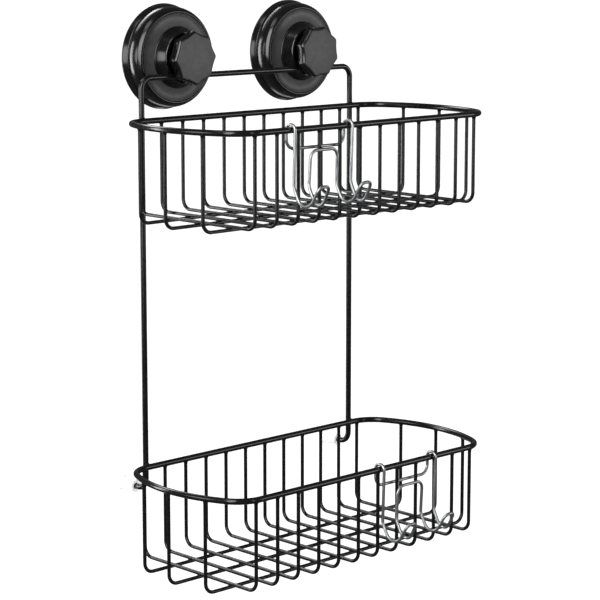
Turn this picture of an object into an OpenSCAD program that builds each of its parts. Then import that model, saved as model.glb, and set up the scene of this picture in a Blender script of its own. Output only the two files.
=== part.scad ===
// Two-tier wire shower caddy, hung from two screw-down suction cups.
// Frame: Y = 0 is the wall, the caddy stands off it towards -Y, +Z is up.
// The origin lies on the wall, midway between the cups, at the height of their axes.

/* [Hanger frame] */
// Distance between the two uprights, centre to centre
post_span = 228; // [190:1:280]
// Diameter of the frame wire
frame_wire = 4.6; // [3.8:0.1:5.6]
// Distance from the wall to the centre of the top bar
bar_offset = 31; // [30.5:0.5:37]
// Drop from the top bar to the bent-back feet
foot_drop = 327; // [272:1:400]
// Bend radius of the frame wire, on its centre line
frame_bend = 9; // [7:0.5:12]

/* [Baskets] */
// Length of the rim, centre line to centre line
basket_w = 300; // [265:1:370]
// Depth of the rim, front rail to rear rail
basket_d = 132; // [110:1:160]
// Height of the basket, rim to floor wires
basket_h = 71.5; // [59:0.5:90]
// Diameter of the rim wire
rim_wire = 4.8; // [4:0.1:5.8]
// Radius of the bowed ends of the rim
rim_end_r = 118; // [98:1:142]
// Radius of the four corners of the rim
rim_corner_r = 25; // [20:1:30]
// Drop from the top bar to the upper rim
upper_rim_drop = 33; // [27:1:40]
// Distance between the two rims
tier_pitch = 275.3; // [229:0.1:280]

/* [Basket wires] */
// Diameter of the floor wires
floor_wire = 2.9; // [2.4:0.1:3.5]
// Bend radius of the floor wires, on their centre line
floor_bend = 8; // [6:0.5:10]
// Number of wires that run front to back
cross_count = 12; // [8:1:12]
// Spacing of the wires that run front to back
cross_pitch = 21.75; // [18:0.05:22]
// Spacing of the wires that run end to end
long_pitch = 36; // [30:1:40]
// How far the end of a wire is sunk into the rim by its weld
weld_sink = 0.9; // [0.7:0.1:1.2]

/* [Feet] */
// Outer diameter of the clear cap on each foot
cap_d = 10.5; // [9:0.5:13]
// Length of the cap, wall to rim
cap_len = 18.5; // [12:0.5:21]
// Thickness of the cap behind the wire's end
cap_end = 3.5; // [2.5:0.5:5]

/* [Suction cups] */
// Distance from the middle of the caddy to each cup's axis
cup_x = 68; // [60:1:74]
// Height of the cup's axis above the top bar
bar_drop = 14; // [12:0.5:15]
// Radius of the housing's skirt, against the wall
skirt_r = 42.3; // [40.5:0.1:46]
// Radius of the housing's front rim
front_r = 38.2; // [34:0.1:39]
// Distance from the wall to the housing's front face
face_t = 20.8; // [19.5:0.1:23]
// Wall thickness of the housing
shell_wall = 2.4; // [2:0.1:3]
// Radius of the collar that carries the bar
collar_r = 23.7; // [22:0.1:27]
// Wall thickness of the collar
collar_wall = 5.5; // [4.5:0.1:6.5]
// Radius of the rubber disc
pad_r = 40.8; // [38:0.1:41.5]
// Thickness of the rubber disc at its edge
pad_edge = 2.2; // [1.8:0.1:2.6]

/* [Knobs] */
// Radius of the knob over its lobes
knob_r = 21.5; // [20:0.1:24]
// Thickness of the knob
knob_t = 9.4; // [9.2:0.1:12]
// Number of finger scallops round the knob
scallops = 8; // [5:1:10]
// Depth of a scallop
scallop_depth = 2; // [1:0.1:2.4]
// Radius of a scallop
scallop_r = 40; // [30:1:60]
// Width of the knob's edge left round the cap let into its face
cap_edge = 1.8; // [1.2:0.1:3]
// Radius of the threaded stud
stud_r = 4; // [3:0.1:4.6]
// Travel of the stud as the knob is undone
stud_travel = 3; // [2:0.1:3.2]

/* [Hooks] */
// Diameter of the hook wire
hook_wire = 2.5; // [2:0.1:3]
// Distance between the two loops that hang on the rail
hook_span = 60; // [52:1:70]
// Drop from the rail to the bottom of the hook
hook_drop = 64.5; // [54:0.5:77]
// Reach of the hook's tip in front of the rail
hook_reach = 28; // [24:0.5:36]
// Centre of the upper basket's hook along the rail
upper_hook_x = -54; // [-65:1:60]
// Centre of the lower basket's hook along the rail
lower_hook_x = 43; // [-65:1:60]

/* [Hidden] */
$fn = 64;
// Running clearance of the stud in its bores
run_fit = 0.05;
// Clearance of the bar in the collar's seats, and of the wire in a foot cap
seat_fit = 0.1;
// Clearance between faces that turn or slide past each other
face_gap = 0.3;
// A bend is a hair fuller than the wire, and each straight runs a little way into it
bend_swell = 0.02;
bend_lap = 0.05;

bar_z = -bar_drop;
post_x = post_span / 2;
foot_z = bar_z - foot_drop;
upper_rim_z = bar_z - upper_rim_drop;
lower_rim_z = upper_rim_z - tier_pitch;
// The rear rail of each rim is welded across the front of the uprights
post_weld = 0.2;
rear_rail_y = -(bar_offset + frame_wire / 2 + rim_wire / 2 - post_weld);
basket_y = rear_rail_y - basket_d / 2;

// Rim outline: bowed ends of rim_end_r run into corners of rim_corner_r
half_w = basket_w / 2;
half_d = basket_d / 2;
end_x = half_w - rim_end_r;
corner_y = half_d - rim_corner_r;
corner_a = asin(corner_y / (rim_end_r - rim_corner_r));
corner_x = end_x + (rim_end_r - rim_corner_r) * cos(corner_a);
function rim_y(x) = abs(x) <= corner_x ? half_d : corner_y + sqrt(pow(rim_corner_r, 2) - pow(abs(x) - corner_x, 2));
function rim_x(y) = end_x + sqrt(pow(rim_end_r, 2) - pow(y, 2));

wire_top = -(rim_wire / 2 - weld_sink);
// The end-to-end wires lie under the front-to-back wires, welded at each crossing
cross_weld = 0.1;
long_floor = -(basket_h + floor_wire - cross_weld);

// Suction cup, measured outwards from the wall
collar_t = bar_offset;
recess_t = face_t + 3.4;
hub_r = stud_r + 3.8;
hub_t = bar_offset + frame_wire / 2 + 0.3;
knob_back = hub_t + face_gap;
knob_front = knob_back + knob_t;
cavity_t = face_t - shell_wall - 1.2;
plate_r = 9;
plate_t = 2;
plate_top = 8.2;
boss_t = plate_top + 2.3;
boss_r = 12.5;
nut_af = 13;
nut_t = 5;
nut_back = knob_back + 1.6;
stud_end = nut_back + nut_t + 0.8;
cap_t = 1.6;
cap_proud = 0.4;

// ---- Bent wire -------------------------------------------------------------

function unit(v) = v / norm(v);
function any_normal(u) = unit(cross(u, abs(u.z) < 0.9 ? [0, 0, 1] : [1, 0, 0]));
function turn(u, v) = acos(max(-1, min(1, u * v)));
// Distance from a corner to the start of its bend
function setback(a, b, c, r) = r * tan(turn(unit(b - a), unit(c - b)) / 2);

// Places its children with their X, Y and Z along the three given directions
module place(x, y, z, at) {
    multmatrix([
        [x.x, y.x, z.x, at.x],
        [x.y, y.y, z.y, at.y],
        [x.z, y.z, z.z, at.z]
    ])
        children();
}

module straight(a, b, d) {
    u = unit(b - a);
    n = any_normal(u);
    place(n, cross(u, n), u, a)
        cylinder(h = norm(b - a), d = d);
}

module bend(a, b, c, r, d) {
    u = unit(b - a);
    v = unit(c - b);
    inward = unit(v - u * (u * v));
    centre = b - u * setback(a, b, c, r) + inward * r;
    place(-inward, u, cross(-inward, u), centre)
        rotate_extrude(angle = turn(u, v))
            translate([r, 0])
                circle(d = d + bend_swell);
}

// A wire through the points, with the bend radius given for each inner point
module wire(points, radii, d) {
    last = len(points) - 1;
    for (i = [0:last - 1]) {
        a = points[i];
        b = points[i + 1];
        u = unit(b - a);
        from = i == 0 ? a : a + u * (setback(points[i - 1], a, b, radii[i]) - bend_lap);
        to = i == last - 1 ? b : b - u * (setback(a, b, points[i + 2], radii[i + 1]) - bend_lap);
        straight(from, to, d);
    }
    for (i = [1:last - 1])
        bend(points[i - 1], points[i], points[i + 1], radii[i], d);
}

// A closed wire through the points, with a bend radius for each of them
module wire_loop(points, radii, d) {
    count = len(points);
    for (i = [0:count - 1]) {
        before = points[(i + count - 1) % count];
        a = points[i];
        b = points[(i + 1) % count];
        after = points[(i + 2) % count];
        u = unit(b - a);
        from = a + u * (setback(before, a, b, radii[i]) - bend_lap);
        to = b - u * (setback(a, b, after, radii[(i + 1) % count]) - bend_lap);
        straight(from, to, d);
        bend(before, a, b, radii[i], d);
    }
}

// ---- Hanger frame and feet -------------------------------------------------

module hanger_frame() {
    stub_y = -(cap_end + seat_fit);
    color([0.08, 0.08, 0.08])
        wire(
            [
                [-post_x, stub_y, foot_z],
                [-post_x, -bar_offset, foot_z],
                [-post_x, -bar_offset, bar_z],
                [post_x, -bar_offset, bar_z],
                [post_x, -bar_offset, foot_z],
                [post_x, stub_y, foot_z]
            ],
            [0, frame_bend, frame_bend, frame_bend, frame_bend, 0],
            frame_wire
        );
}

// Clear cap pushed over the bent-back end of an upright
module foot_cap(x) {
    lip = 0.8;
    color([0.85, 0.88, 0.9, 0.5])
        translate([x, 0, foot_z])
            rotate([90, 0, 0])
                rotate_extrude()
                    polygon([
                        [0, 0],
                        [cap_d / 2 + lip, 0],
                        [cap_d / 2 + lip, 1.2],
                        [cap_d / 2, 2.2],
                        [cap_d / 2, cap_len - lip],
                        [cap_d / 2 - lip, cap_len],
                        [frame_wire / 2 + seat_fit, cap_len],
                        [frame_wire / 2 + seat_fit, cap_end],
                        [0, cap_end]
                    ]);
}

// ---- Baskets ---------------------------------------------------------------

module ring_arc(centre, r, from, sweep, d) {
    translate(centre)
        rotate([0, 0, from])
            rotate_extrude(angle = sweep)
                translate([r, 0])
                    circle(d = d);
}

module rim(z) {
    rail_x = corner_x + bend_lap;
    end_a = corner_a + bend_lap / rim_end_r * 180 / PI;
    corner_d = rim_wire + bend_swell;
    color([0.08, 0.08, 0.08])
        translate([0, basket_y, z]) {
            for (side = [-1, 1])
                straight([-rail_x, side * half_d, 0], [rail_x, side * half_d, 0], rim_wire);
            for (end = [0, 180])
                rotate([0, 0, end]) {
                    ring_arc([end_x, 0, 0], rim_end_r, -end_a, 2 * end_a, rim_wire);
                    ring_arc([corner_x, corner_y, 0], rim_corner_r, corner_a, 90 - corner_a, corner_d);
                    ring_arc([corner_x, -corner_y, 0], rim_corner_r, -90, 90 - corner_a, corner_d);
                }
        }
}

// U-shaped wire that runs front to back, butt-welded under the rim at both ends
module cross_wire(i, z) {
    x = (i - (cross_count + 1) / 2) * cross_pitch;
    y = rim_y(x);
    color([0.1, 0.1, 0.1])
        translate([0, basket_y, z])
            wire(
                [[x, y, wire_top], [x, y, -basket_h], [x, -y, -basket_h], [x, -y, wire_top]],
                [0, floor_bend, floor_bend, 0],
                floor_wire
            );
}

// U-shaped wire that runs end to end below the front-to-back wires
module long_wire(i, z) {
    y = (2 - i) * long_pitch;
    x = rim_x(y);
    color([0.1, 0.1, 0.1])
        translate([0, basket_y, z])
            wire(
                [[-x, y, wire_top], [-x, y, long_floor], [x, y, long_floor], [x, y, wire_top]],
                [0, floor_bend, floor_bend, 0],
                floor_wire
            );
}

// ---- Suction cups ----------------------------------------------------------

// Revolves an outline of [radius, distance from the wall] about a cup's axis
module on_cup(x) {
    translate([x, 0, 0])
        rotate([90, 0, 0])
            children();
}

// Rubber disc with a hollow boss that holds the stud's plate
module suction_pad(x) {
    pocket_floor = plate_top - plate_t - stud_travel - face_gap;
    pocket_top = plate_top + face_gap;
    color([0.12, 0.12, 0.12])
        on_cup(x)
            rotate_extrude()
                polygon([
                    [0, pocket_floor - 1.6],
                    [30, 0],
                    [pad_r, 0],
                    [pad_r, pad_edge],
                    [33, pad_edge],
                    [boss_r + 2, 3.6],
                    [boss_r, 5],
                    [boss_r, boss_t],
                    [stud_r + 1, boss_t],
                    [stud_r + 1, pocket_top],
                    [plate_r + face_gap, pocket_top],
                    [plate_r + face_gap, pocket_floor],
                    [0, pocket_floor]
                ]);
}

// Moulded housing: skirt, dished face, collar with two seats for the bar, and hub
module cup_housing(x) {
    color([0.05, 0.05, 0.05])
        difference() {
            on_cup(x)
                rotate_extrude()
                    polygon([
                        [skirt_r - 0.8, pad_edge],
                        [skirt_r, pad_edge + 1],
                        [skirt_r - 0.8, 5.6],
                        [skirt_r - 1.7, 8],
                        [front_r + 1.4, 8.6],
                        [front_r + 1.7, 10],
                        [front_r + 1.7, 13.5],
                        [front_r + 1.4, 15.5],
                        [front_r + 0.8, face_t - 3.2],
                        [front_r - 0.7, face_t - 1],
                        [front_r - 1.6, face_t - 0.2],
                        [front_r - 2.6, face_t],
                        [front_r - 3.6, face_t - 0.5],
                        [(front_r + collar_r) / 2, face_t - 1.4],
                        [collar_r + 0.9, face_t - 0.4],
                        [collar_r, face_t + 0.3],
                        [collar_r - 2.8, collar_t - 0.9],
                        [collar_r - 3.4, collar_t],
                        [collar_r - collar_wall, collar_t],
                        [collar_r - collar_wall, recess_t],
                        [hub_r, recess_t],
                        [hub_r, hub_t - 0.6],
                        [hub_r - 0.6, hub_t],
                        [stud_r + run_fit, hub_t],
                        [stud_r + run_fit, boss_t + face_gap],
                        [hub_r, boss_t + face_gap],
                        [hub_r, cavity_t],
                        [front_r - shell_wall, cavity_t],
                        [front_r - shell_wall, pad_edge]
                    ]);
            straight(
                [x - collar_r - 1, -bar_offset, bar_z],
                [x + collar_r + 1, -bar_offset, bar_z],
                frame_wire + 2 * seat_fit
            );
        }
}

// Steel stud with the plate that draws the middle of the rubber off the wall
module pull_stud(x) {
    color([0.7, 0.7, 0.72])
        on_cup(x) {
            translate([0, 0, plate_top - plate_t])
                cylinder(h = plate_t, r = plate_r);
            translate([0, 0, plate_top - plate_t])
                cylinder(h = stud_end - plate_top + plate_t, r = stud_r);
        }
}

// Outline of the knob, drawn in by the given width
module knob_outline(inset) {
    scale(1 - inset / knob_r)
        difference() {
            circle(r = knob_r, $fn = 96);
            for (i = [0:scallops - 1])
                rotate([0, 0, (i + 0.5) * 360 / scallops])
                    translate([knob_r - scallop_depth + scallop_r, 0])
                        circle(r = scallop_r, $fn = 96);
        }
}

// Scalloped knob, bored for the stud, with a hexagon pocket for its nut and a seat for the cap
module knob(x, phase) {
    color([0.05, 0.05, 0.05])
        difference() {
            on_cup(x)
                difference() {
                    rotate([0, 0, phase])
                        intersection() {
                            translate([0, 0, knob_back])
                                linear_extrude(knob_t)
                                    knob_outline(0);
                            rotate_extrude($fn = 96)
                                polygon([
                                    [0, knob_back],
                                    [knob_r - 2.4, knob_back],
                                    [knob_r + 0.1, knob_back + 2],
                                    [knob_r + 0.1, knob_front - 1.8],
                                    [knob_r - 0.9, knob_front - 0.3],
                                    [knob_r - 1.3, knob_front],
                                    [0, knob_front]
                                ]);
                        }
                    translate([0, 0, knob_back - 1])
                        cylinder(h = knob_t, r = stud_r + 1);
                    translate([0, 0, nut_back])
                        rotate([0, 0, phase])
                            cylinder(h = knob_t, d = (nut_af + seat_fit) / cos(30), $fn = 6);
                    translate([0, 0, knob_front - cap_t])
                        rotate([0, 0, phase])
                            linear_extrude(cap_t + 1)
                                knob_outline(cap_edge - seat_fit);
                }
        }
}

// Brass nut held in the back of the knob
module knob_nut(x, phase) {
    color([0.75, 0.6, 0.3])
        on_cup(x)
            difference() {
                translate([0, 0, nut_back])
                    rotate([0, 0, phase])
                        cylinder(h = nut_t, d = nut_af / cos(30), $fn = 6);
                translate([0, 0, nut_back - 1])
                    cylinder(h = nut_t + 2, r = stud_r + run_fit);
            }
}

// Flat cap pressed into the knob's face, scalloped as the knob is
module knob_cap(x, phase) {
    color([0.33, 0.33, 0.33])
        on_cup(x)
            translate([0, 0, knob_front - cap_t])
                rotate([0, 0, phase])
                    linear_extrude(cap_t + cap_proud)
                        knob_outline(cap_edge);
}

// ---- Hooks -----------------------------------------------------------------

// Closed wire: two loops over the rail, a crossbar behind it and two J-shaped prongs in front
module double_hook(x, z) {
    loop_gap = 0.95;
    crown_gap = 0.45;
    shank_gap = 0.5;
    crossbar_z = -14.5;
    arch_z = -16;
    shank_z = -43;
    tip_rise = 24;
    prong_w = 16;
    shank_w = 15.5;
    heel_w = 14.5;
    tip_w = 10.4;
    bar_bend = 7.5;
    arch_bend = 6.5;
    shank_bend = 10;
    heel_bend = 8;
    tip_bend = 4.6;
    back = rim_wire / 2 + hook_wire / 2 + loop_gap;
    front = -(back + face_gap);
    crown = rim_wire / 2 + hook_wire / 2 + crown_gap;
    loop_bend = (back - front) / 2 - 0.5;
    shank_y = -(floor_wire / 2 + hook_wire / 2 + shank_gap);
    heel_y = -hook_reach / 2 - 0.5;
    tip_z = tip_rise - hook_drop;
    outer = hook_span / 2;
    prong_x = outer - prong_w / 2;
    half = [
        [outer, back, crossbar_z],
        [outer, back, crown],
        [outer, front, crown],
        [prong_x + shank_w / 2, shank_y, shank_z],
        [prong_x + heel_w / 2, heel_y, -hook_drop],
        [prong_x + tip_w / 2, -hook_reach, tip_z],
        [prong_x - tip_w / 2, -hook_reach, tip_z],
        [prong_x - heel_w / 2, heel_y, -hook_drop],
        [prong_x - shank_w / 2, shank_y, shank_z],
        [outer - prong_w, front, arch_z]
    ];
    radii = [
        bar_bend, loop_bend, loop_bend, shank_bend, heel_bend,
        tip_bend, tip_bend, heel_bend, shank_bend, arch_bend
    ];
    back_again = [len(half) - 1:-1:0];
    color([0.75, 0.76, 0.78])
        translate([x, basket_y - half_d, z])
            wire_loop(
                concat(half, [for (i = back_again) [-half[i].x, half[i].y, half[i].z]]),
                concat(radii, [for (i = back_again) radii[i]]),
                hook_wire
            );
}

// ---- Assembly --------------------------------------------------------------

hanger_frame();
foot_cap(-post_x);  // foot_cap_left
foot_cap(post_x);  // foot_cap_right
rim(upper_rim_z);  // rim_upper
rim(lower_rim_z);  // rim_lower
for (i = [1:cross_count]) {
    cross_wire(i, upper_rim_z);
    cross_wire(i, lower_rim_z);
}
for (i = [1:3]) {
    long_wire(i, upper_rim_z);
    long_wire(i, lower_rim_z);
}
for (cup = [["left", -cup_x, 3], ["right", cup_x, 28]]) {
    suction_pad(cup[1]);
    cup_housing(cup[1]);
    pull_stud(cup[1]);
    knob(cup[1], cup[2]);
    knob_nut(cup[1], cup[2]);
    knob_cap(cup[1], cup[2]);
}
double_hook(upper_hook_x, upper_rim_z);  // double_hook_upper
double_hook(lower_hook_x, lower_rim_z);  // double_hook_lower
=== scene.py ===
"""A two-tier wire shower caddy, hung from two screw-down suction cups."""

import math

import bmesh
import bpy
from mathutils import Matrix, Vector


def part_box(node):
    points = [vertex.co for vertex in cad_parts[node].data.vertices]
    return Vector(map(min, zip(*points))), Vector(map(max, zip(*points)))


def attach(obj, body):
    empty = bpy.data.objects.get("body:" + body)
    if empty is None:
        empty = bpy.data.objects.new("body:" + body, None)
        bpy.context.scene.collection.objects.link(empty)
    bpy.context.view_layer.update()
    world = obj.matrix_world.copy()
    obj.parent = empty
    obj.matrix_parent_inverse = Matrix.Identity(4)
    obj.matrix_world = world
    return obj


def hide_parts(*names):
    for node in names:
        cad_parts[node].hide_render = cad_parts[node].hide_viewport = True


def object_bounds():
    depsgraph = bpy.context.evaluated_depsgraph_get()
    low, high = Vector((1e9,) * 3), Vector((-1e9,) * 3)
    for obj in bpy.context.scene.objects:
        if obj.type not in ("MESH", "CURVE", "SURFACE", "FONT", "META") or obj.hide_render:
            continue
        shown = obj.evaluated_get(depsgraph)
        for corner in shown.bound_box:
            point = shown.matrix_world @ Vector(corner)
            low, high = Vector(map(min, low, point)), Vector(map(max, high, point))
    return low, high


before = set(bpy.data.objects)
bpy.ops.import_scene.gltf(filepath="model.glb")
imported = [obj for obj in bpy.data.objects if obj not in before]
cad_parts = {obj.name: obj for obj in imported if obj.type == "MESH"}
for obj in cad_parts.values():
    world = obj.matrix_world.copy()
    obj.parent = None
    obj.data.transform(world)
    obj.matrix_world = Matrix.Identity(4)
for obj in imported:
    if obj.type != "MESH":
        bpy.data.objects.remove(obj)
cad_low, cad_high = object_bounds()
MM = 0.001

# ---- Hanger wire -----------------------------------------------------------
# One length of mild steel wire, bent into an upside-down U. Its feet turn back to the wall.
# It is powder coated black after the baskets are welded on.

HANGER_WIRE = 4.6 * MM
HANGER_BEND = 9 * MM


def add(tree, kind, sockets=(), **settings):
    """Adds a node with its settings. sockets maps an input to a value, or to the output that feeds it."""
    node = tree.nodes.new(kind)
    for name, value in settings.items():
        setattr(node, name, value)
    for key, value in dict(sockets).items():
        if isinstance(value, bpy.types.NodeSocket):
            tree.links.new(value, node.inputs[key])
        else:
            node.inputs[key].default_value = value
    return node


def linear(code):
    """Turns an sRGB hex colour into a linear one."""
    parts = [int(code[i : i + 2], 16) / 255 for i in (1, 3, 5)]
    return [c / 12.92 if c <= 0.04045 else ((c + 0.055) / 1.055) ** 2.4 for c in parts] + [1.0]


def mottled(name, dark, light, grain, smooth, rough, relief, **look):
    """A finish whose colour and roughness drift between two values over grains of one size,
    raised by a low relief. look holds the shader's plain values."""
    material = bpy.data.materials.new(name)
    material.use_nodes = True
    tree = material.node_tree
    tree.nodes.clear()
    place = add(tree, "ShaderNodeTexCoord").outputs["Object"]
    drift = add(tree, "ShaderNodeTexNoise", {"Vector": place, "Scale": 0.1 / grain, "Detail": 3.0})
    fine = add(tree, "ShaderNodeTexNoise", {"Vector": place, "Scale": 1 / grain, "Detail": 2.0})
    colour = add(tree, "ShaderNodeValToRGB", {"Fac": drift.outputs["Fac"]})
    colour.color_ramp.elements[0].position = 0.35
    colour.color_ramp.elements[1].position = 0.65
    colour.color_ramp.elements[0].color = linear(dark)
    colour.color_ramp.elements[1].color = linear(light)
    gloss = add(
        tree,
        "ShaderNodeMapRange",
        {"Value": fine.outputs["Fac"], "From Min": 0.3, "From Max": 0.7, "To Min": smooth, "To Max": rough},
    )
    bump = add(tree, "ShaderNodeBump", {"Height": fine.outputs["Fac"], "Distance": relief, "Strength": 1.0})
    sockets = {
        "Base Color": colour.outputs["Color"],
        "Roughness": gloss.outputs["Result"],
        "Normal": bump.outputs["Normal"],
    }
    sockets.update({key.replace("_", " "): value for key, value in look.items()})
    shader = add(tree, "ShaderNodeBsdfPrincipled", sockets)
    add(tree, "ShaderNodeOutputMaterial", {"Surface": shader.outputs["BSDF"]})
    return material


# Polyester powder coat, baked on. It flows out glossy, with a faint orange peel.
powder_coat = mottled("black_powder_coat", "#060607", "#0b0b0c", 2 * MM, 0.15, 0.21, 0.0012 * MM, IOR=1.5)

bent_wire = bpy.data.node_groups.new("bent_wire", "GeometryNodeTree")
for socket_name, socket_type in (
    ("Path", "NodeSocketGeometry"),
    ("Diameter", "NodeSocketFloat"),
    ("Sides", "NodeSocketInt"),
    ("Bend Steps", "NodeSocketInt"),
    ("Finish", "NodeSocketMaterial"),
):
    bent_wire.interface.new_socket(socket_name, in_out="INPUT", socket_type=socket_type)
bent_wire.interface.new_socket("Wire", in_out="OUTPUT", socket_type="NodeSocketGeometry")
given = add(bent_wire, "NodeGroupInput")
bend_at = add(bent_wire, "GeometryNodeInputNamedAttribute", {"Name": "bend"}, data_type="FLOAT")
girth_at = add(bent_wire, "GeometryNodeInputNamedAttribute", {"Name": "girth"}, data_type="FLOAT")
half_of = add(bent_wire, "ShaderNodeMath", {0: given.outputs["Diameter"], 1: 0.5}, operation="MULTIPLY")
line = add(bent_wire, "GeometryNodeMeshToCurve", {"Mesh": given.outputs["Path"]})
bends = add(
    bent_wire,
    "GeometryNodeFilletCurve",
    {
        "Curve": line.outputs["Curve"],
        "Count": given.outputs["Bend Steps"],
        "Radius": bend_at.outputs["Attribute"],
        "Limit Radius": True,
    },
    mode="POLY",
)
section = add(
    bent_wire,
    "GeometryNodeCurvePrimitiveCircle",
    {"Resolution": given.outputs["Sides"], "Radius": half_of.outputs["Value"]},
)
drawn = add(
    bent_wire,
    "GeometryNodeCurveToMesh",
    {
        "Curve": bends.outputs["Curve"],
        "Profile Curve": section.outputs["Curve"],
        "Scale": girth_at.outputs["Attribute"],
        "Fill Caps": True,
    },
)
smooth = add(bent_wire, "GeometryNodeSetShadeSmooth", {"Geometry": drawn.outputs["Mesh"]})
real = add(bent_wire, "GeometryNodeRealizeInstances", {"Geometry": smooth.outputs["Geometry"]})
coated = add(
    bent_wire,
    "GeometryNodeSetMaterial",
    {"Geometry": real.outputs["Geometry"], "Material": given.outputs["Finish"]},
)
add(bent_wire, "NodeGroupOutput", {0: coated.outputs["Geometry"]})


def grow(name, mesh, tree, inputs, finish):
    """Runs a Geometry Nodes tree on a mesh, and keeps the result as a plain mesh object."""
    seed = bpy.data.objects.new(name + "_seed", mesh)
    bpy.context.scene.collection.objects.link(seed)
    modifier = seed.modifiers.new("grow", "NODES")
    modifier.node_group = tree
    for item in tree.interface.items_tree:
        if item.in_out == "INPUT" and item.name in inputs:
            modifier[item.identifier] = inputs[item.name]
    grown = bpy.data.meshes.new_from_object(seed.evaluated_get(bpy.context.evaluated_depsgraph_get()))
    seed.modifiers.remove(modifier)
    bpy.data.objects.remove(seed)
    return keep(name, grown, finish)


def keep(name, mesh, finish):
    """Makes an object of a finished mesh, with its faces turned outwards, and puts its finish on it."""
    shape = bmesh.new()
    shape.from_mesh(mesh)
    bmesh.ops.remove_doubles(shape, verts=shape.verts, dist=1e-7)
    bmesh.ops.recalc_face_normals(shape, faces=shape.faces)
    shape.to_mesh(mesh)
    shape.free()
    mesh.name = name
    mesh.materials.clear()
    mesh.materials.append(finish)
    made = bpy.data.objects.new(name, mesh)
    bpy.context.scene.collection.objects.link(made)
    return made


def wire_piece(name, lines, diameter, finish, body, nodes, sides=16, bend_steps=10):
    """Draws wires of one diameter. A line is (points, bend radii, girths, closed), in metres."""
    verts, edges, radii, girths = [], [], [], []
    for points, line_radii, line_girths, closed in lines:
        first = len(verts)
        verts += [Vector(p) for p in points]
        radii += line_radii
        girths += line_girths
        edges += [(i, i + 1) for i in range(first, len(verts) - 1)]
        if closed:
            edges.append((len(verts) - 1, first))
    mesh = bpy.data.meshes.new(name)
    mesh.from_pydata(verts, edges, [])
    mesh.attributes.new("bend", "FLOAT", "POINT").data.foreach_set("value", radii)
    mesh.attributes.new("girth", "FLOAT", "POINT").data.foreach_set("value", girths)
    inputs = {"Diameter": diameter, "Sides": sides, "Bend Steps": bend_steps, "Finish": finish}
    made = grow(name, mesh, bent_wire, inputs, finish)
    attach(made, body)
    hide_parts(*nodes)
    return made


low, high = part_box("hanger_frame")
hanger_r = HANGER_WIRE / 2
post_x, bar_y, bar_z, foot_z = high.x - hanger_r, low.y + hanger_r, high.z - hanger_r, low.z + hanger_r
hanger_points = [
    (-post_x, high.y, foot_z),
    (-post_x, bar_y, foot_z),
    (-post_x, bar_y, bar_z),
    (post_x, bar_y, bar_z),
    (post_x, bar_y, foot_z),
    (post_x, high.y, foot_z),
]
hanger_line = (hanger_points, [0, HANGER_BEND, HANGER_BEND, HANGER_BEND, HANGER_BEND, 0], [1.0] * 6, False)
wire_piece(
    "hanger_wire", [hanger_line], HANGER_WIRE, powder_coat, "rack", ["hanger_frame"],
    sides=32, bend_steps=16,
)

# ---- Foot caps -------------------------------------------------------------
# Dipped clear vinyl caps, pushed over the bent-back ends so that the wire doesn't mark the wall.
# The closed end is thicker, with a flared foot that lies on the wall.

CAP_R = 5.25 * MM
CAP_LIP = 0.8 * MM
CAP_LEN = 18.5 * MM
CAP_END = 3.5 * MM
CAP_BORE = 2.4 * MM

# Plasticised vinyl, clear when new but milky through its thickness, with a soft dull skin
clear_vinyl = mottled(
    "clear_vinyl", "#eef0f0", "#f8f9f9", 3 * MM, 0.32, 0.4, 0.001 * MM, IOR=1.45, Transmission_Weight=0.35
)


def softened(outline, steps=4):
    """Rounds the corners of an outline. A third number in a point is the distance that its rounding takes."""
    out = []
    for i, corner in enumerate(outline):
        here = Vector(corner[:2])
        if len(corner) == 2:
            out.append(here)
            continue
        before = Vector(outline[i - 1][:2]) - here
        after = Vector(outline[(i + 1) % len(outline)][:2]) - here
        start = here + before.normalized() * min(corner[2], 0.48 * before.length)
        end = here + after.normalized() * min(corner[2], 0.48 * after.length)
        for k in range(steps + 1):
            t = k / steps
            out.append(start * (1 - t) ** 2 + here * 2 * t * (1 - t) + end * t**2)
    return out


def turned(name, outline, x, z, finish, segments=96):
    """Turns an outline of (radius, distance from the wall) round an axis square to the wall.
    A radius may be a function of the angle. Where an outline meets the axis it ends in a pole."""
    mesh = bpy.data.meshes.new(name)
    shape = bmesh.new()
    rings = []
    for radius, out in outline:
        if radius == 0:
            rings.append([shape.verts.new((x, -out, z))] * segments)
            continue
        ring = []
        for k in range(segments):
            a = 2 * math.pi * k / segments
            reach = radius(a) if callable(radius) else radius
            ring.append(shape.verts.new((x + reach * math.cos(a), -out, z + reach * math.sin(a))))
        rings.append(ring)
    for one, other in zip(rings, rings[1:] + rings[:1]):
        for k in range(segments):
            n = (k + 1) % segments
            corners = list(dict.fromkeys((one[k], one[n], other[n], other[k])))
            if len(corners) > 2:
                shape.faces.new(corners)
    shape.to_mesh(mesh)
    shape.free()
    made = keep(name, mesh, finish)
    made.data.shade_smooth()
    made.data.set_sharp_from_angle(angle=math.radians(50))
    return made


for side, foot_x in (("left", -post_x), ("right", post_x)):
    cap = turned(
        "foot_cap_clear_" + side,
        softened(
            [
                (0, 0),
                (CAP_R + CAP_LIP, 0, 0.5 * MM),
                (CAP_R + CAP_LIP, 1.2 * MM, 0.4 * MM),
                (CAP_R, 2.2 * MM, 0.5 * MM),
                (CAP_R, CAP_LEN, 0.9 * MM),
                (CAP_BORE, CAP_LEN, 0.3 * MM),
                (CAP_BORE, CAP_END, 0.5 * MM),
                (0, CAP_END),
            ]
        ),
        foot_x,
        foot_z,
        clear_vinyl,
        segments=64,
    )
    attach(cap, "rack")
    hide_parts("foot_cap_" + side)

# ---- Basket rims -----------------------------------------------------------
# Each rim is a closed ring of the heaviest wire, butt welded and dressed smooth, with bowed ends.
# Its rear rail is welded across the front of both uprights.

RIM_WIRE = 4.8 * MM
RIM_END_R = 118 * MM
RIM_CORNER_R = 25 * MM
ARC_STEPS = 12

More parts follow.
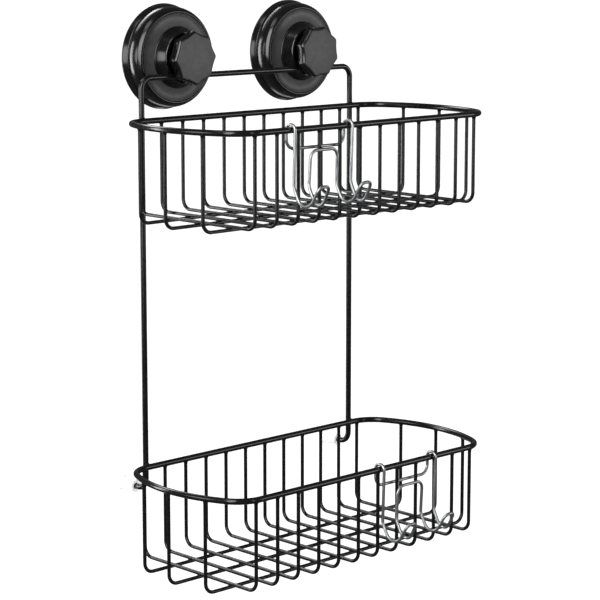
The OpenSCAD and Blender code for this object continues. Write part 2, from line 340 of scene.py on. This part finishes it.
rim_r = RIM_WIRE / 2
tiers = {}
for tier in ("upper", "lower"):
    low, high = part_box("rim_" + tier)
    half_w, half_d = high.x - rim_r, (high.y - low.y) / 2 - rim_r
    middle_y, rim_z = (low.y + high.y) / 2, (low.z + high.z) / 2
    end_x, corner_y = half_w - RIM_END_R, half_d - RIM_CORNER_R
    corner_a = math.asin(corner_y / (RIM_END_R - RIM_CORNER_R))
    corner_x = end_x + (RIM_END_R - RIM_CORNER_R) * math.cos(corner_a)
    quarter = []
    for k in range(ARC_STEPS):
        a = corner_a * k / ARC_STEPS
        quarter.append((end_x + RIM_END_R * math.cos(a), RIM_END_R * math.sin(a)))
    for k in range(ARC_STEPS + 1):
        a = corner_a + (math.pi / 2 - corner_a) * k / ARC_STEPS
        quarter.append((corner_x + RIM_CORNER_R * math.cos(a), corner_y + RIM_CORNER_R * math.sin(a)))
    half = quarter + [(-u, v) for u, v in reversed(quarter)]
    loop = half + [(u, -v) for u, v in reversed(half[1:-1])]
    rim_line = ([(u, middle_y + v, rim_z) for u, v in loop], [0.0] * len(loop), [1.0] * len(loop), True)
    wire_piece(
        "rim_ring_" + tier, [rim_line], RIM_WIRE, powder_coat, "rack", ["rim_" + tier], sides=32
    )
    tiers[tier] = {"rail_y": low.y + rim_r, "rear_y": high.y - rim_r, "rim_z": rim_z}

# ---- Basket wires ----------------------------------------------------------
# Twelve U-shaped wires run front to back and three run end to end beneath them.
# Each is butt welded under the rim, where the weld swells the wire, and spot welded at each crossing.

FLOOR_WIRE = 2.9 * MM
FLOOR_BEND = 8 * MM
CROSS_WIRES = range(1, 13)
LONG_WIRES = range(1, 4)
# Distance below the rim's underside, and how much thicker than the wire the weld is there
WELD_SWELL = ((-0.35 * MM, 1.36), (0.15 * MM, 1.22), (0.55 * MM, 1.1), (1.1 * MM, 1.02), (1.7 * MM, 1.0))

floor_r = FLOOR_WIRE / 2


def u_wire(start, top, bottom, end, rim_bottom):
    """A U-shaped wire, swelling into its welds. start and end are (x, y) of its two legs."""
    down = [(*start, rim_bottom - drop) for drop, _ in WELD_SWELL]
    up = [(*end, rim_bottom - drop) for drop, _ in reversed(WELD_SWELL)]
    girths = [girth for _, girth in WELD_SWELL]
    points = [(*start, top), *down, (*start, bottom), (*end, bottom), *up, (*end, top)]
    radii = [0.0] * (len(down) + 1) + [FLOOR_BEND, FLOOR_BEND] + [0.0] * (len(up) + 1)
    return (points, radii, [girths[0], *girths, 1.0, 1.0, *reversed(girths), girths[0]], False)


for tier, sizes in tiers.items():
    rim_bottom = sizes["rim_z"] - rim_r
    cross_lines, long_lines, sizes["cross_x"], sizes["long_y"] = [], [], [], []
    for i in CROSS_WIRES:
        low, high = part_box(f"cross_wire_{tier}_{i}")
        x = (low.x + high.x) / 2
        sizes["cross_x"].append(x)
        sizes["cross_z"] = low.z + floor_r
        cross_lines.append(
            u_wire((x, high.y - floor_r), high.z, low.z + floor_r, (x, low.y + floor_r), rim_bottom)
        )
    for i in LONG_WIRES:
        low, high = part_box(f"long_wire_{tier}_{i}")
        y = (low.y + high.y) / 2
        sizes["long_y"].append(y)
        sizes["long_z"] = low.z + floor_r
        long_lines.append(
            u_wire((low.x + floor_r, y), high.z, low.z + floor_r, (high.x - floor_r, y), rim_bottom)
        )
    wire_piece(
        "cross_wires_" + tier, cross_lines, FLOOR_WIRE, powder_coat, "rack",
        [f"cross_wire_{tier}_{i}" for i in CROSS_WIRES],
    )
    wire_piece(
        "long_wires_" + tier, long_lines, FLOOR_WIRE, powder_coat, "rack",
        [f"long_wire_{tier}_{i}" for i in LONG_WIRES],
    )

# ---- Weld beads ------------------------------------------------------------
# Resistance welds squeeze a little metal out round each crossing: a flat lens between the two wires.
# The powder coat runs over them.

CROSSING_BEAD = (1.75 * MM, 1.75 * MM, 0.62 * MM)
POST_BEAD = (2.9 * MM, 0.95 * MM, 2.9 * MM)

weld_beads = bpy.data.node_groups.new("weld_beads", "GeometryNodeTree")
for socket_name, socket_type in (
    ("Spots", "NodeSocketGeometry"),
    ("Half Size", "NodeSocketVector"),
    ("Finish", "NodeSocketMaterial"),
):
    weld_beads.interface.new_socket(socket_name, in_out="INPUT", socket_type=socket_type)
weld_beads.interface.new_socket("Beads", in_out="OUTPUT", socket_type="NodeSocketGeometry")
given = add(weld_beads, "NodeGroupInput")
ball = add(weld_beads, "GeometryNodeMeshUVSphere", {"Segments": 16, "Rings": 8, "Radius": 1.0})
soft = add(weld_beads, "GeometryNodeSetShadeSmooth", {"Geometry": ball.outputs["Mesh"]})
placed = add(
    weld_beads,
    "GeometryNodeInstanceOnPoints",
    {
        "Points": given.outputs["Spots"],
        "Instance": soft.outputs["Geometry"],
        "Scale": given.outputs["Half Size"],
    },
)
real = add(weld_beads, "GeometryNodeRealizeInstances", {"Geometry": placed.outputs["Instances"]})
coated = add(
    weld_beads,
    "GeometryNodeSetMaterial",
    {"Geometry": real.outputs["Geometry"], "Material": given.outputs["Finish"]},
)
add(weld_beads, "NodeGroupOutput", {0: coated.outputs["Geometry"]})


def beads(name, spots, half_size):
    mesh = bpy.data.meshes.new(name)
    mesh.from_pydata(spots, [], [])
    made = grow(name, mesh, weld_beads, {"Half Size": half_size, "Finish": powder_coat}, powder_coat)
    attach(made, "rack")
    return made


for tier, sizes in tiers.items():
    seam_z = (sizes["cross_z"] + sizes["long_z"]) / 2
    beads(
        "floor_welds_" + tier,
        [(x, y, seam_z) for x in sizes["cross_x"] for y in sizes["long_y"]],
        CROSSING_BEAD,
    )
    seam_y = ((bar_y - hanger_r) + (sizes["rear_y"] + rim_r)) / 2
    beads("post_welds_" + tier, [(x, seam_y, sizes["rim_z"]) for x in (-post_x, post_x)], POST_BEAD)

# ---- Suction discs ---------------------------------------------------------
# Soft black vinyl discs with a thick boss. The steel plate of the stud is moulded into the boss.
# The side that meets the wall is a shallow dish, with fine sealing rings near its thin edge.

DISC_R = 40.8 * MM
DISC_EDGE = 2.2 * MM
DISC_DISH = 1.3 * MM
BOSS_R = 12.5 * MM
BOSS_TOP = 10.5 * MM
BOSS_BORE = 5 * MM
POCKET_R = 9.3 * MM
POCKET_FLOOR, POCKET_TOP = 2.9 * MM, 8.5 * MM
RING_PITCH = 1.5 * MM
RING_DEPTH = 0.22 * MM

# Plasticised vinyl filled with carbon black: a waxy surface that shows a broad soft shine
soft_vinyl = mottled("soft_black_vinyl", "#101011", "#1b1b1c", 0.9 * MM, 0.34, 0.5, 0.01 * MM, IOR=1.52)

cups = {}
for side in ("left", "right"):
    low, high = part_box("cup_housing_" + side)
    cup_x, cup_z = (low.x + high.x) / 2, (low.z + high.z) / 2
    cups[side] = (cup_x, cup_z)
    rings = []
    for k in range(6):
        at = 30 * MM + k * RING_PITCH
        rings += [(at, 0.03 * MM), (at + 0.5 * RING_PITCH, RING_DEPTH, 0.4 * MM)]
    disc = turned(
        "suction_disc_" + side,
        softened(
            [
                (0, DISC_DISH),
                (12 * MM, DISC_DISH, 4 * MM),
                (29 * MM, 0.1 * MM, 3 * MM),
                *rings,
                (DISC_R - 0.6 * MM, 0, 0.5 * MM),
                (DISC_R, 0.8 * MM, 0.5 * MM),
                (DISC_R, DISC_EDGE, 0.4 * MM),
                (33 * MM, DISC_EDGE, 2 * MM),
                (BOSS_R + 2 * MM, 3.6 * MM, 1.2 * MM),
                (BOSS_R, 5 * MM, 1.2 * MM),
                (BOSS_R, BOSS_TOP, 0.8 * MM),
                (BOSS_BORE, BOSS_TOP, 0.4 * MM),
                (BOSS_BORE, POCKET_TOP),
                (POCKET_R, POCKET_TOP),
                (POCKET_R, POCKET_FLOOR),
                (0, POCKET_FLOOR),
            ]
        ),
        cup_x,
        cup_z,
        soft_vinyl,
        segments=128,
    )
    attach(disc, side + "_cup")
    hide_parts("suction_pad_" + side)

# ---- Cup housings ----------------------------------------------------------
# Injection moulded ABS, polished on its stepped side and broad bevel, and spark-textured on its dished face.
# A tapered collar carries the top bar in two half-round seats, and the hub in its recess guides the stud.

SKIRT_R = 42.3 * MM
FRONT_R = 38.2 * MM
FACE_OUT = 20.8 * MM
SHELL_WALL = 2.4 * MM
CAVITY_OUT = 17.2 * MM
COLLAR_R = 23.7 * MM
COLLAR_WALL = 5.5 * MM
COLLAR_OUT = 31 * MM
RECESS_OUT = 24.2 * MM
HUB_R = 7.8 * MM
HUB_OUT = 33.6 * MM
STUD_BORE = 4.05 * MM
SEAT_R = 2.4 * MM

# Black ABS straight from a polished mould: a clear shine that wavers where the wall's thickness changes
polished_abs = mottled("polished_black_abs", "#050506", "#0a0a0b", 8 * MM, 0.16, 0.22, 0.004 * MM, IOR=1.54)
# The same plastic from a spark-textured mould face, rougher than the polished sides. Its base is painted dark
# grey, a painted reflection of grey surroundings on what is black plastic
painted_sheen_textured_abs = mottled("textured_black_abs_painted_sheen", "#29292a", "#313132", 0.5 * MM, 0.36, 0.44, 0.004 * MM, IOR=1.54)


def cut_away(piece, cutter):
    """Cuts one closed mesh out of another."""
    modifier = piece.modifiers.new("cut", "BOOLEAN")
    modifier.object = cutter
    modifier.operation = "DIFFERENCE"
    modifier.solver = "EXACT"
    result = bpy.data.meshes.new_from_object(piece.evaluated_get(bpy.context.evaluated_depsgraph_get()))
    piece.modifiers.remove(modifier)
    bpy.data.objects.remove(cutter)
    piece.data = result
    piece.data.shade_smooth()
    piece.data.set_sharp_from_angle(angle=math.radians(40))


for side, (cup_x, cup_z) in cups.items():
    housing = turned(
        "cup_shell_" + side,
        softened(
            [
                (SKIRT_R - 0.8 * MM, DISC_EDGE, 0.3 * MM),
                (SKIRT_R, DISC_EDGE + 1 * MM, 0.8 * MM),
                (SKIRT_R - 0.8 * MM, 5.6 * MM, 1 * MM),
                (SKIRT_R - 1.7 * MM, 8 * MM, 0.5 * MM),
                (FRONT_R + 1.4 * MM, 8.6 * MM, 0.2 * MM),
                (FRONT_R + 1.7 * MM, 10 * MM, 0.7 * MM),
                (FRONT_R + 1.7 * MM, 13.5 * MM, 1.5 * MM),
                (FRONT_R + 1.4 * MM, 15.5 * MM, 0.8 * MM),
                (FRONT_R + 0.8 * MM, FACE_OUT - 3.2 * MM, 0.6 * MM),
                (FRONT_R - 0.7 * MM, FACE_OUT - 1 * MM, 0.6 * MM),
                (FRONT_R - 1.6 * MM, FACE_OUT - 0.2 * MM, 0.5 * MM),
                (FRONT_R - 2.6 * MM, FACE_OUT, 0.5 * MM),
                (FRONT_R - 3.6 * MM, FACE_OUT - 0.5 * MM, 0.6 * MM),
                ((FRONT_R + COLLAR_R) / 2, FACE_OUT - 1.4 * MM, 5 * MM),
                (COLLAR_R + 0.9 * MM, FACE_OUT - 0.4 * MM, 0.6 * MM),
                (COLLAR_R, FACE_OUT + 0.3 * MM, 0.4 * MM),
                (COLLAR_R - 2.8 * MM, COLLAR_OUT - 0.9 * MM, 0.5 * MM),
                (COLLAR_R - 3.4 * MM, COLLAR_OUT, 0.3 * MM),
                (COLLAR_R - COLLAR_WALL, COLLAR_OUT, 0.6 * MM),
                (COLLAR_R - COLLAR_WALL, RECESS_OUT, 0.6 * MM),
                (HUB_R, RECESS_OUT, 0.8 * MM),
                (HUB_R, HUB_OUT - 0.6 * MM, 0.3 * MM),
                (HUB_R - 0.6 * MM, HUB_OUT, 0.3 * MM),
                (STUD_BORE, HUB_OUT),
                (STUD_BORE, BOSS_TOP + 0.3 * MM),
                (HUB_R, BOSS_TOP + 0.3 * MM),
                (HUB_R, CAVITY_OUT, 0.6 * MM),
                (FRONT_R - SHELL_WALL, CAVITY_OUT, 1 * MM),
                (FRONT_R - SHELL_WALL, DISC_EDGE),
            ]
        ),
        cup_x,
        cup_z,
        polished_abs,
        segments=160,
    )
    # The dished face takes the grey finish, whose lighter base colour is a painted reflection
    housing.data.materials.append(painted_sheen_textured_abs)
    for face in housing.data.polygons:
        radius = math.hypot(face.center.x - cup_x, face.center.z - cup_z)
        on_face = COLLAR_R + 0.7 * MM < radius < FRONT_R - 3.4 * MM and face.center.y < -FACE_OUT + 2 * MM
        face.material_index = int(on_face)
    shape = bmesh.new()
    bmesh.ops.create_cone(
        shape, segments=48, radius1=SEAT_R, radius2=SEAT_R, depth=2.2 * COLLAR_R, cap_ends=True
    )
    for vert in shape.verts:
        vert.co = Vector((cup_x + vert.co.z, bar_y + vert.co.x, bar_z + vert.co.y))
    bar = bpy.data.meshes.new("bar_" + side)
    shape.to_mesh(bar)
    shape.free()
    cut_away(housing, keep("bar_" + side, bar, polished_abs))
    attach(housing, side + "_cup")
    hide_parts("cup_housing_" + side)

# ---- Studs and nuts --------------------------------------------------------
# A zinc-plated steel stud draws the middle of the disc off the wall as the knob's brass nut winds it out.

zinc_steel = mottled(
    "zinc_plated_steel", "#a9acae", "#c3c6c8", 0.8 * MM, 0.22, 0.36, 0.008 * MM, Metallic=1.0
)
turned_brass = mottled("turned_brass", "#b8924e", "#cda863", 0.6 * MM, 0.22, 0.34, 0.006 * MM, Metallic=1.0)
for side in cups:
    for node, finish in (("pull_stud_", zinc_steel), ("knob_nut_", turned_brass)):
        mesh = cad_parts[node + side].data
        mesh.materials.clear()
        mesh.materials.append(finish)

# ---- Knobs -----------------------------------------------------------------
# Moulded ABS knobs with eight finger scallops, turned to draw the disc tight.
# Their sides and edges are polished, and a textured cap is pressed into the face.

KNOB_R = 21.5 * MM
SCALLOPS = 8
SCALLOP_R = 40 * MM
SCALLOP_DEPTH = 2 * MM
# Radius of the crest left between two scallops
CREST_SOFT = 0.4 * MM
KNOB_BACK = 33.9 * MM
KNOB_FRONT = 43.3 * MM
KNOB_BORE = 5 * MM
NUT_POCKET_R = 7.7 * MM
NUT_BACK = 35.5 * MM
CAP_EDGE = 1.8 * MM
CAP_SINK = 1.6 * MM
CAP_PROUD = 0.4 * MM
# The front edge is a long soft chamfer: (how far it has drawn in, how far it is from the face), in mm
KNOB_EDGE = ((0, 1.9), (0.03, 1.65), (0.15, 1.4), (0.85, 0.35), (1.1, 0.1), (1.4, 0))
KNOB_SIDES = SCALLOPS * 32

# Textured ABS of the caps, a lighter grey than the housings
grey_abs = mottled("textured_grey_abs", "#303031", "#363637", 0.45 * MM, 0.46, 0.54, 0.004 * MM, IOR=1.54)


def knob_reach(angle):
    """Radius of the knob at an angle from the middle of a crest."""
    pitch = 2 * math.pi / SCALLOPS
    off = (angle % pitch) - pitch / 2
    reach = KNOB_R - SCALLOP_DEPTH + SCALLOP_R
    scoop = reach * math.cos(off) - math.sqrt(SCALLOP_R**2 - (reach * math.sin(off)) ** 2)
    return KNOB_R - CREST_SOFT * math.log1p(math.exp((KNOB_R - scoop) / CREST_SOFT))


def lobed(name, rings, x, z, phase, finish):
    """Builds rings of (radius or inset, is it an inset, distance from the wall) into one closed skin."""

    def reach(size, is_inset):
        return (lambda angle: knob_reach(angle - phase) - size) if is_inset else size

    outline = [(reach(size, is_inset), out) for size, is_inset, out in rings]
    return turned(name, outline, x, z, finish, KNOB_SIDES)


for side, phase in (("left", math.radians(3)), ("right", math.radians(28))):
    cup_x, cup_z = cups[side]
    knob = lobed(
        "turn_knob_" + side,
        [
            (KNOB_BORE, False, KNOB_BACK),
            (3 * MM, True, KNOB_BACK),
            (2 * MM, True, KNOB_BACK + 0.3 * MM),
            (0.5 * MM, True, KNOB_BACK + 1.5 * MM),
            (0.1 * MM, True, KNOB_BACK + 2.2 * MM),
            (0, True, KNOB_BACK + 3 * MM),
            *[(inset * MM, True, KNOB_FRONT - below * MM) for inset, below in KNOB_EDGE],
            (CAP_EDGE - 0.15 * MM, True, KNOB_FRONT),
            (CAP_EDGE, True, KNOB_FRONT - 0.15 * MM),
            (CAP_EDGE, True, KNOB_FRONT - CAP_SINK),
            (NUT_POCKET_R, False, KNOB_FRONT - CAP_SINK),
            (NUT_POCKET_R, False, NUT_BACK),
            (KNOB_BORE, False, NUT_BACK),
        ],
        cup_x,
        cup_z,
        phase,
        polished_abs,
    )
    cap = lobed(
        "knob_face_" + side,
        [
            (0, False, KNOB_FRONT - CAP_SINK),
            (CAP_EDGE + 0.05 * MM, True, KNOB_FRONT - CAP_SINK),
            (CAP_EDGE + 0.05 * MM, True, KNOB_FRONT + CAP_PROUD - 0.3 * MM),
            (CAP_EDGE + 0.15 * MM, True, KNOB_FRONT + CAP_PROUD - 0.08 * MM),
            (CAP_EDGE + 0.4 * MM, True, KNOB_FRONT + CAP_PROUD),
            (0, False, KNOB_FRONT + CAP_PROUD),
        ],
        cup_x,
        cup_z,
        phase,
        grey_abs,
    )
    for piece, slot, node in ((knob, "black_plastic", "knob_"), (cap, "grey_plastic", "knob_cap_")):
        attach(piece, side + "_knob")
        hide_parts(node + side)

# ---- Double hooks ----------------------------------------------------------
# One closed loop of stainless wire: two loops ride over the rail, a crossbar joins them behind it,
# and two narrow prongs hang in front and turn up at their tips.

HOOK_WIRE = 2.5 * MM
LOOP_BACK = 4.6 * MM
LOOP_FRONT = -4.9 * MM
LOOP_TOP = 4.1 * MM
CROSSBAR_DROP = -14.5 * MM
ARCH_DROP = -16 * MM
SHANK_OUT, SHANK_DROP = -3.2 * MM, -43 * MM
HEEL_OUT, HEEL_DROP = -14.5 * MM, -64.5 * MM
TIP_OUT, TIP_DROP = -28 * MM, -40.5 * MM
HOOK_HALF = 30 * MM
PRONG_WIDTHS = {"top": 16 * MM, "shank": 15.5 * MM, "heel": 14.5 * MM, "tip": 10.4 * MM}
HOOK_BENDS = [7.5, 4.25, 4.25, 10, 8, 4.6, 4.6, 8, 10, 6.5]

# Stainless wire, drawn and then tumbled bright
bright_steel = mottled(
    "bright_stainless_wire", "#a3a4a6", "#bbbcbe", 2 * MM, 0.3, 0.36, 0.001 * MM, Metallic=1.0
)

for tier, body in (("upper", "upper_hook"), ("lower", "lower_hook")):
    low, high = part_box("double_hook_" + tier)
    hook_x, rail_y, rail_z = (low.x + high.x) / 2, tiers[tier]["rail_y"], tiers[tier]["rim_z"]
    prong_x = HOOK_HALF - PRONG_WIDTHS["top"] / 2
    shank, heel, tip = (PRONG_WIDTHS[part] / 2 for part in ("shank", "heel", "tip"))
    half = [
        (HOOK_HALF, LOOP_BACK, CROSSBAR_DROP),
        (HOOK_HALF, LOOP_BACK, LOOP_TOP),
        (HOOK_HALF, LOOP_FRONT, LOOP_TOP),
        (prong_x + shank, SHANK_OUT, SHANK_DROP),
        (prong_x + heel, HEEL_OUT, HEEL_DROP),
        (prong_x + tip, TIP_OUT, TIP_DROP),
        (prong_x - tip, TIP_OUT, TIP_DROP),
        (prong_x - heel, HEEL_OUT, HEEL_DROP),
        (prong_x - shank, SHANK_OUT, SHANK_DROP),
        (HOOK_HALF - PRONG_WIDTHS["top"], LOOP_FRONT, ARCH_DROP),
    ]
    whole = half + [(-u, v, w) for u, v, w in reversed(half)]
    radii = [r * MM for r in HOOK_BENDS + HOOK_BENDS[::-1]]
    path = [(hook_x + u, rail_y + v, rail_z + w) for u, v, w in whole]
    wire_piece(
        "wire_hook_" + tier, [(path, radii, [1.0] * len(path), True)], HOOK_WIRE, bright_steel,
        body, ["double_hook_" + tier], sides=24,
    )

# ---- Studio ----------------------------------------------------------------
# A plain pale floor well below the hanging caddy, and softboxes round it.

FLOOR_DROP = 1.5
FLOOR_HALF = 60.0
OPEN_WHITE = 1.35
FLAGGED_WHITE = 0.1

studio = bpy.data.worlds.new("studio")
studio.use_nodes = True
tree = studio.node_tree
tree.nodes.clear()
# Open white round the object, but dim where a glossy surface mirrors it, as black flags make it
ray = add(tree, "ShaderNodeLightPath")
bare = add(tree, "ShaderNodeBackground", {"Color": (1, 1, 1, 1), "Strength": OPEN_WHITE})
flagged = add(tree, "ShaderNodeBackground", {"Color": (1, 1, 1, 1), "Strength": FLAGGED_WHITE})
mixed = add(
    tree,
    "ShaderNodeMixShader",
    {0: ray.outputs["Is Glossy Ray"], 1: bare.outputs[0], 2: flagged.outputs[0]},
)
add(tree, "ShaderNodeOutputWorld", {"Surface": mixed.outputs["Shader"]})
bpy.context.scene.world = studio
bpy.context.scene.view_settings.view_transform = "Standard"

pale_floor = mottled("pale_floor", "#f5f5f5", "#f7f7f7", 400 * MM, 0.85, 0.9, 0.02 * MM)
mesh = bpy.data.meshes.new("floor")
floor_z = cad_low.z - FLOOR_DROP
corners = [(x * FLOOR_HALF, y * FLOOR_HALF, floor_z) for x, y in ((-1, -1), (1, -1), (1, 1), (-1, 1))]
mesh.from_pydata(corners, [], [(0, 1, 2, 3)])
floor = keep("floor", mesh, pale_floor)
floor.visible_glossy = False

middle = (cad_low + cad_high) / 2


def softbox(name, azimuth, elevation, distance, width, height, watts):
    """An area light aimed at the middle of the caddy. Azimuth 0 is in front of it and 90 to its right."""
    a, e = math.radians(azimuth), math.radians(elevation)
    outward = Vector((math.sin(a) * math.cos(e), -math.cos(a) * math.cos(e), math.sin(e)))
    data = bpy.data.lights.new(name, "AREA")
    data.shape = "ELLIPSE"
    data.size, data.size_y, data.energy = width, height, watts
    made = bpy.data.objects.new(name, data)
    made.location = middle + outward * distance
    made.visible_camera = False
    made.rotation_euler = outward.to_track_quat("Z", "Y").to_euler()
    bpy.context.scene.collection.objects.link(made)


softbox("strip_left", -66, 22, 1.6, 0.75, 1.9, 22)
softbox("side_left", -104, 10, 1.6, 0.6, 0.8, 5)
softbox("strip_front", 4, 14, 1.6, 0.12, 1.5, 2)
softbox("back_left", -143, 3, 1.6, 0.3, 1.3, 9)
softbox("back_top", 175, 38, 1.6, 1.2, 0.35, 6)
softbox("right_card", 44, 2, 2.0, 1.0, 0.8, 6)
softbox("top", -90, 66, 1.8, 0.9, 0.6, 3)
softbox("bounce", 148, -32, 1.6, 0.8, 0.4, 1)

# ---- Camera ----------------------------------------------------------------

CAMERA_AT = (-1.1412, -1.2846, 0.0941)
CAMERA_YAW = 43.679
CAMERA_TILT = 9.079

lens = bpy.data.cameras.new("camera")
lens.lens = 125.09
lens.sensor_width = 36
lens.shift_y = -0.05
lens.clip_end = 200
camera = bpy.data.objects.new("camera", lens)
camera.location = CAMERA_AT
camera.rotation_euler = (math.radians(90 - CAMERA_TILT), 0, math.radians(-CAMERA_YAW))
bpy.context.scene.collection.objects.link(camera)
bpy.context.scene.camera = camera
